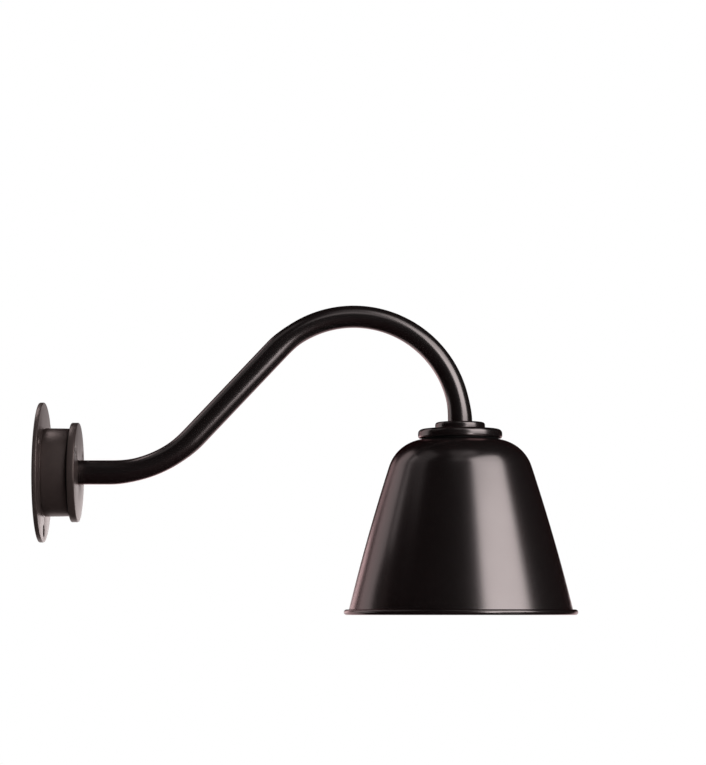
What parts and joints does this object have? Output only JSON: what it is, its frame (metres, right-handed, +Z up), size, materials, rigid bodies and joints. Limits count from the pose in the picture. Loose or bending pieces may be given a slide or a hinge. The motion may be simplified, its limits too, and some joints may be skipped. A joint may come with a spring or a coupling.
{
  "type": "gooseneck wall sconce",
  "caption": "Wall light with a bent gooseneck pipe arm on a round surface box, carrying a bell-shaped metal shade that points down around a screw-base bulb.",
  "frame": {"origin": "centre of the wall plate's back face, on the wall", "axes": "+X away from the wall along the arm's first run, +Z up, +Y completes the right-handed set"},
  "size_m": [0.5851, 0.254, 0.3389],
  "materials": {
    "mount_bronze": "dark bronze powder coat, matt, faint texture",
    "arm_bronze": "dark bronze powder coat, satin",
    "shade_bronze": "dark bronze powder coat, satin",
    "housing_black": "black, matt",
    "gasket_rubber": "matt",
    "zinc_steel": "zinc plated",
    "liner_plastic": "moulded",
    "cable_jacket": "matt jacket",
    "black_insulation": "satin",
    "white_insulation": "satin",
    "green_insulation": "satin",
    "connector_orange": "moulded",
    "tinned_copper": "tinned",
    "porcelain": "glazed white",
    "shell_brass": "drawn brass",
    "base_nickel": "nickel plated",
    "bulb_solder": "solder",
    "insulator_black": "glossy black",
    "bulb_white": "satin white",
    "bulb_opal": "opal diffuser",
    "board_white": "white solder mask",
    "chip_yellow": "phosphor",
    "driver_green": "potted board"
  },
  "bodies": {
    "wall_mount": {"wall_plate": "mount_bronze", "junction_box": "mount_bronze", "box_screws": "zinc_steel", "cover_gasket": "gasket_rubber", "cover_plate": "mount_bronze", "cover_screws": "mount_bronze", "arm_tube": "arm_bronze", "arm_locknut": "zinc_steel", "arm_bushing": "liner_plastic", "stem_bushing": "liner_plastic", "stem_nut": "arm_bronze", "hanger_nut": "zinc_steel", "arm_cable": "cable_jacket", "live_tail": "black_insulation", "neutral_tail": "white_insulation", "wire_connectors": "connector_orange", "ground_terminal": "tinned_copper", "ground_wire": "green_insulation", "ground_screw": "green_insulation"},
    "head": {"shade_cap": "shade_bronze", "set_screw": "zinc_steel", "cap_gasket": "gasket_rubber", "shade": "shade_bronze", "socket_housing": "housing_black", "housing_screws": "zinc_steel", "socket_bracket": "zinc_steel", "bracket_screws": "zinc_steel", "lampholder_body": "porcelain", "lampholder_screws": "zinc_steel", "screw_shell": "shell_brass", "centre_contact": "shell_brass", "terminal_screws": "shell_brass", "live_lead": "black_insulation", "neutral_lead": "white_insulation"},
    "bulb": {"bulb_base": "base_nickel", "bulb_insulator": "insulator_black", "bulb_tip": "bulb_solder", "bulb_body": "bulb_white", "bulb_dome": "bulb_opal", "led_board": "board_white", "led_chips": "chip_yellow", "led_driver": "driver_green"}
  },
  "joints": [
    {"name": "head_turn", "type": "hinge", "parent": "wall_mount", "child": "head", "pos_m": [0.45811, 0, 0.042], "axis": [0, 0, 1], "range_deg": [-180, 180]},
    {"name": "bulb_draw", "type": "slide", "parent": "head", "child": "bulb", "axis": [0, 0, -1], "range_m": [0, 0.16]}
  ]
}
